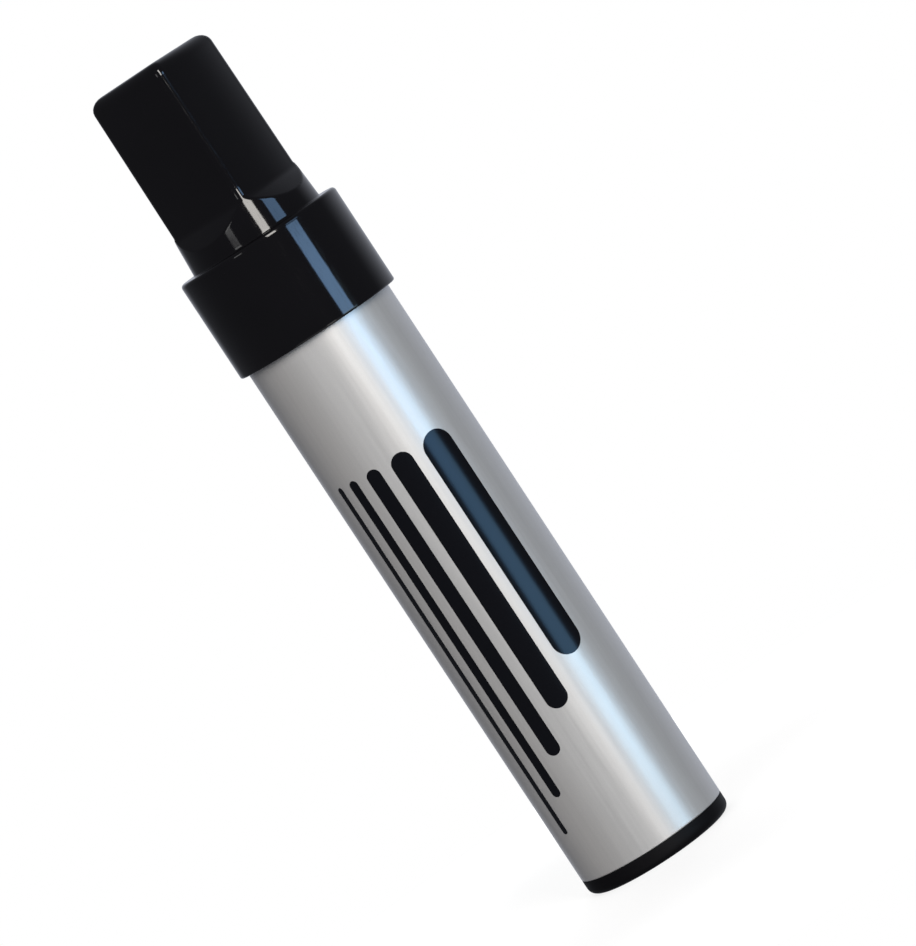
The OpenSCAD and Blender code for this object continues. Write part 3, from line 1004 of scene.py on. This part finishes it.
def softbox(camera_azimuth, name, azimuth, elevation, width, height, radiance, tint):
    """Adds an area light that faces the collar, with the radiance that a reflection of it shows."""
    way = direction(camera_azimuth + math.radians(azimuth), math.radians(elevation))
    lamp = bpy.data.lights.new(name, "AREA")
    lamp.shape = "RECTANGLE"
    lamp.size = 2 * LAMP_DISTANCE * math.tan(math.radians(width) / 2)
    lamp.size_y = 2 * LAMP_DISTANCE * math.tan(math.radians(height) / 2)
    lamp.energy = math.pi * lamp.size * lamp.size_y * radiance
    lamp.color = tint
    obj = bpy.data.objects.new(name, lamp)
    bpy.context.scene.collection.objects.link(obj)
    obj.location = Vector((0, 0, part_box("cap")[0].z)) + way * LAMP_DISTANCE
    obj.rotation_euler = way.to_track_quat("Z", "Y").to_euler()
    obj.visible_camera = False
    obj.visible_glossy = name not in FILLS


def studio_world(azimuth):
    """White behind the marker for the camera and in reflections, a dim room beside it, and a plain fill."""
    world = bpy.data.worlds.new("studio")
    bpy.context.scene.world = world
    world.use_nodes = True
    tree = world.node_tree
    tree.nodes.clear()
    path = add(tree, "ShaderNodeLightPath").outputs
    way = add(tree, "ShaderNodeTexCoord").outputs["Generated"]
    to_wall = add(tree, "ShaderNodeVectorMath", {
        0: way, 1: direction(azimuth + WALL_AZIMUTH, WALL_ELEVATION)}, operation="DOT_PRODUCT")
    wall = add(tree, "ShaderNodeMapRange", {
        "Value": to_wall.outputs["Value"], "From Min": math.cos(WALL_RIM), "From Max": math.cos(WALL_CORE),
        "To Min": ROOM_LEVEL, "To Max": WALL_LEVEL}, interpolation_type="SMOOTHSTEP")
    mirrored = add(tree, "ShaderNodeMath", {
        0: path["Is Glossy Ray"], 1: path["Is Transmission Ray"]}, operation="MAXIMUM")
    lit = add(tree, "ShaderNodeMix", {
        0: mirrored.outputs[0], 2: FILL_LEVEL, 3: wall.outputs[0]}, data_type="FLOAT")
    level = add(tree, "ShaderNodeMix", {
        0: path["Is Camera Ray"], 2: lit.outputs[0], 3: 1.0}, data_type="FLOAT")
    tint = add(tree, "ShaderNodeMix", {
        0: path["Is Camera Ray"], 6: ROOM_TINT, 7: (1, 1, 1, 1)}, data_type="RGBA")
    background = add(tree, "ShaderNodeBackground", {"Color": tint.outputs[2], "Strength": level.outputs[0]})
    add(tree, "ShaderNodeOutputWorld", {"Surface": background.outputs[0]})


def pale_floor(radius):
    """White floor that keeps a faint shadow, which fades out towards its rim."""
    material = bpy.data.materials.new("floor_white")
    material.use_nodes = True
    tree = material.node_tree
    tree.nodes.clear()
    path = add(tree, "ShaderNodeLightPath").outputs
    place = add(tree, "ShaderNodeTexCoord").outputs["Object"]
    from_axis = add(tree, "ShaderNodeVectorMath", {0: place}, operation="LENGTH")
    fade = add(tree, "ShaderNodeMapRange", {
        "Value": from_axis.outputs["Value"], "From Min": radius * FLOOR_FADE, "From Max": radius,
        "To Min": FLOOR_LEVEL, "To Max": 1.0}, interpolation_type="SMOOTHSTEP")
    mirrored = add(tree, "ShaderNodeMath", {
        0: path["Is Glossy Ray"], 1: path["Is Transmission Ray"]}, operation="MAXIMUM")
    shown = add(tree, "ShaderNodeMath", {
        0: path["Is Camera Ray"], 1: mirrored.outputs[0]}, operation="MAXIMUM")
    strength = add(tree, "ShaderNodeMath", {0: shown.outputs[0], 1: fade.outputs[0]}, operation="MULTIPLY")
    glow = add(tree, "ShaderNodeEmission", {"Strength": strength.outputs[0]})
    catch = add(tree, "ShaderNodeBsdfDiffuse", {"Color": FLOOR_GREY})
    both = add(tree, "ShaderNodeAddShader", {0: glow.outputs[0], 1: catch.outputs[0]})
    add(tree, "ShaderNodeOutputMaterial", {"Surface": both.outputs[0]})
    return material


class MARKER_OT_stage(bpy.types.Operator):
    """Sets the floor, the lights, the surroundings and the camera"""

    bl_idname = "marker.stage"
    bl_label = "Stage"

    def execute(self, context):
        scene = context.scene
        stage = scene.marker.stage
        shape = bmesh.new()
        bmesh.ops.create_circle(shape, cap_ends=True, segments=FLOOR_SIDES, radius=stage.floor_radius)
        mesh = bpy.data.meshes.new("floor")
        shape.to_mesh(mesh)
        shape.free()
        floor = show("floor", mesh, pale_floor(stage.floor_radius))
        floor.visible_glossy = False
        floor.visible_shadow = False
        for lamp in LAMPS:
            softbox(stage.azimuth, *lamp)
        studio_world(stage.azimuth)

        back = direction(stage.azimuth, 0)
        right = direction(stage.azimuth + math.pi / 2, 0)
        camera = bpy.data.cameras.new("camera")
        camera.sensor_width = SENSOR_WIDTH
        camera.lens = stage.lens
        obj = bpy.data.objects.new("camera", camera)
        scene.collection.objects.link(obj)
        obj.location = back * stage.distance + Vector((0, 0, stage.height))
        target = right * stage.aim_side + Vector((0, 0, stage.aim_height))
        level = (obj.location - target).to_track_quat("Z", "Y").to_matrix().to_4x4()
        obj.rotation_euler = (level @ Matrix.Rotation(-stage.roll, 4, "Z")).to_euler()
        scene.camera = obj
        scene.view_settings.view_transform = "Standard"
        return {"FINISHED"}


OPERATORS = (
    MARKER_OT_barrel,
    MARKER_OT_printing,
    MARKER_OT_end_plug,
    MARKER_OT_reservoir,
    MARKER_OT_nib_holder,
    MARKER_OT_nib,
    MARKER_OT_cap,
    MARKER_OT_cap_liner,
    MARKER_OT_stage,
)


class MARKER_PT_panel(bpy.types.Panel):
    """Lists the marker's settings and the steps that make it"""

    bl_idname = "MARKER_PT_panel"
    bl_label = "Permanent marker"
    bl_space_type = "VIEW_3D"
    bl_region_type = "UI"
    bl_category = "Marker"

    def draw(self, context):
        for group in ("sizes", "holder", "colours", "printing", "nib", "stage"):
            settings = getattr(context.scene.marker, group)
            box = self.layout.box()
            for name in settings.bl_rna.properties.keys():
                if name not in ("rna_type", "name"):
                    box.prop(settings, name)
        for operator in OPERATORS:
            self.layout.operator(operator.bl_idname)


CLASSES = (
    MarkerSizes,
    HolderSizes,
    MarkerColours,
    PrintSettings,
    NibSettings,
    StageSettings,
    MarkerSettings,
    *OPERATORS,
    MARKER_PT_panel,
)


def register():
    for cls in CLASSES:
        bpy.utils.register_class(cls)
    bpy.types.Scene.marker = PointerProperty(type=MarkerSettings)


def unregister():
    del bpy.types.Scene.marker
    for cls in reversed(CLASSES):
        bpy.utils.unregister_class(cls)


def main():
    register()
    for operator in OPERATORS:
        group, name = operator.bl_idname.split(".")
        getattr(getattr(bpy.ops, group), name)()


if __name__ == "__main__":
    main()
